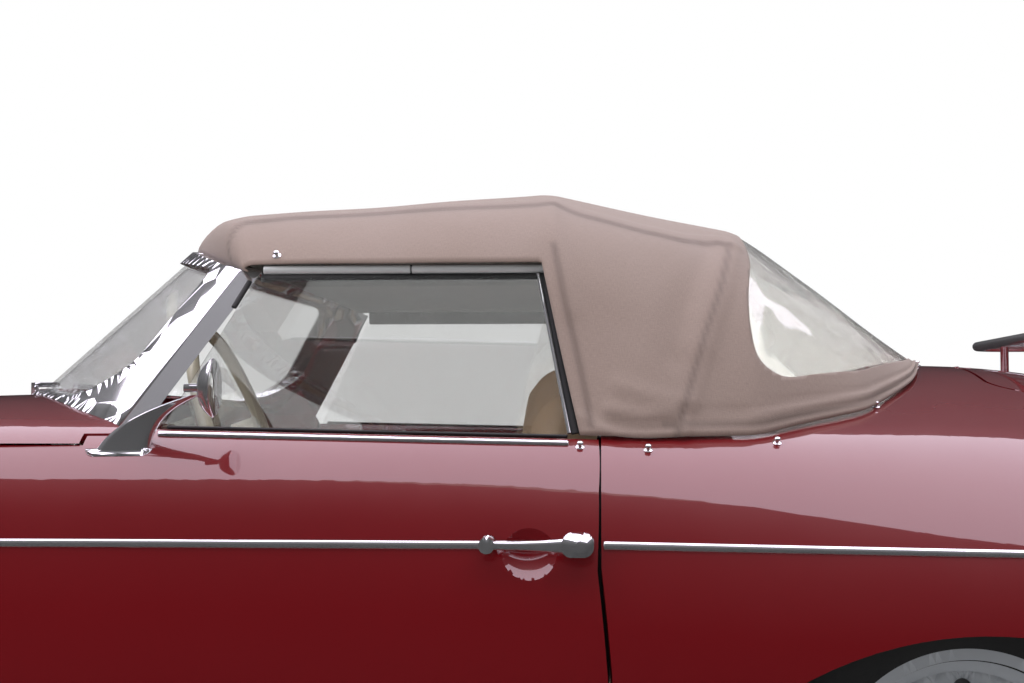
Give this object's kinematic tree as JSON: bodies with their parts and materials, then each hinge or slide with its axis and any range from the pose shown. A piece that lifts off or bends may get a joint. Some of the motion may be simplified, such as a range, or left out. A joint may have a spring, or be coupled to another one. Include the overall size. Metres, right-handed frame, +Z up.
{
  "type": "two-seat convertible car",
  "caption": "Rounded rear-engined two-seat convertible car with its fabric top up, turning wheels, steering, doors and lids.",
  "frame": {"origin": "on the ground, below the middle of the car's length and width", "axes": "+X forwards, +Y to the car's left, +Z up"},
  "size_m": [3.9516, 1.6758, 1.242],
  "materials": {
    "body_paint": "gloss",
    "underbody": "matte",
    "bright_trim": "polished",
    "clear_glass": "clear",
    "clear_window": "clear",
    "top_fabric": "matte",
    "seat_leather": "satin",
    "lamp_glass": "clear",
    "tail_lens": "gloss",
    "cast_metal": "matte",
    "exhaust_steel": "satin",
    "ivory": "gloss",
    "wheel_silver": "satin",
    "tyre": "matte"
  },
  "bodies": {
    "body": {"floor_pan": "body_paint", "front_shell": "body_paint", "rear_shell": "body_paint", "front_wheel_houses": "underbody", "rear_wheel_houses": "underbody", "windscreen_frame": "bright_trim", "windscreen_glass": "clear_glass", "soft_top": "top_fabric", "rear_window": "clear_window", "top_rails": "underbody", "seat_left": "seat_leather", "seat_right": "seat_leather", "dashboard": "body_paint", "headlamps": "lamp_glass", "tail_lamps": "tail_lens", "front_bumper": "bright_trim", "rear_bumper": "bright_trim", "engine_block": "cast_metal", "front_axle": "underbody", "rear_axle": "cast_metal", "exhaust": "exhaust_steel", "wipers": "bright_trim"},
    "door_left": {"door_left": "body_paint", "door_glass_left": "clear_glass", "door_handle_left": "bright_trim", "mirror_left": "bright_trim"},
    "door_right": {"door_right": "body_paint", "door_glass_right": "clear_glass", "door_handle_right": "bright_trim"},
    "front_lid": {"front_lid": "body_paint"},
    "engine_lid": {"engine_lid": "body_paint", "luggage_rack": "bright_trim", "engine_grille": "bright_trim"},
    "steering_wheel": {"steering_wheel": "ivory"},
    "knuckle_left": {"knuckle_left": "underbody"},
    "knuckle_right": {"knuckle_right": "underbody"},
    "wheel_front_left": {"rim_front_left": "wheel_silver", "tyre_front_left": "tyre"},
    "wheel_front_right": {"rim_front_right": "wheel_silver", "tyre_front_right": "tyre"},
    "wheel_rear_left": {"rim_rear_left": "wheel_silver", "tyre_rear_left": "tyre"},
    "wheel_rear_right": {"rim_rear_right": "wheel_silver", "tyre_rear_right": "tyre"}
  },
  "joints": [
    {"name": "door_left_hinge", "type": "hinge", "parent": "body", "child": "door_left", "pos_m": [0.62, 0.816, 0.5], "axis": [0, 0, -1], "range_deg": [0, 65]},
    {"name": "door_right_hinge", "type": "hinge", "parent": "body", "child": "door_right", "pos_m": [0.62, -0.816, 0.5], "axis": [0, 0, 1], "range_deg": [0, 65]},
    {"name": "front_lid_hinge", "type": "hinge", "parent": "body", "child": "front_lid", "pos_m": [0.757, 0, 0.86326], "axis": [0, -1, 0], "range_deg": [0, 55]},
    {"name": "engine_lid_hinge", "type": "hinge", "parent": "body", "child": "engine_lid", "pos_m": [-1.01, 0, 0.9281], "axis": [0, 1, 0], "range_deg": [0, 55]},
    {"name": "steer_left", "type": "hinge", "parent": "body", "child": "knuckle_left", "pos_m": [1.215, 0.58, 0.318], "axis": [0, 0, 1], "range_deg": [-30, 30]},
    {"name": "steer_right", "type": "hinge", "parent": "body", "child": "knuckle_right", "pos_m": [1.215, -0.58, 0.318], "axis": [0, 0, 1], "range_deg": [-30.5, 30.5]},
    {"name": "steering_turn", "type": "hinge", "parent": "body", "child": "steering_wheel", "pos_m": [0.23, 0.33, 0.8], "axis": [-0.9397, 0, 0.342], "range_deg": [-425, 425]},
    {"name": "spin_front_left", "type": "hinge", "parent": "knuckle_left", "child": "wheel_front_left", "pos_m": [1.215, 0.653, 0.318], "axis": [0, 1, 0], "continuous": true},
    {"name": "spin_front_right", "type": "hinge", "parent": "knuckle_right", "child": "wheel_front_right", "pos_m": [1.215, -0.653, 0.318], "axis": [0, 1, 0], "continuous": true},
    {"name": "spin_rear_left", "type": "hinge", "parent": "body", "child": "wheel_rear_left", "pos_m": [-0.885, 0.636, 0.318], "axis": [0, 1, 0], "continuous": true},
    {"name": "spin_rear_right", "type": "hinge", "parent": "body", "child": "wheel_rear_right", "pos_m": [-0.885, -0.636, 0.318], "axis": [0, 1, 0], "continuous": true}
  ],
  "couplings": [
    {"joint": "steer_right", "follows": "steer_left", "ratio": 1},
    {"joint": "steering_turn", "follows": "steer_left", "ratio": 14}
  ]
}
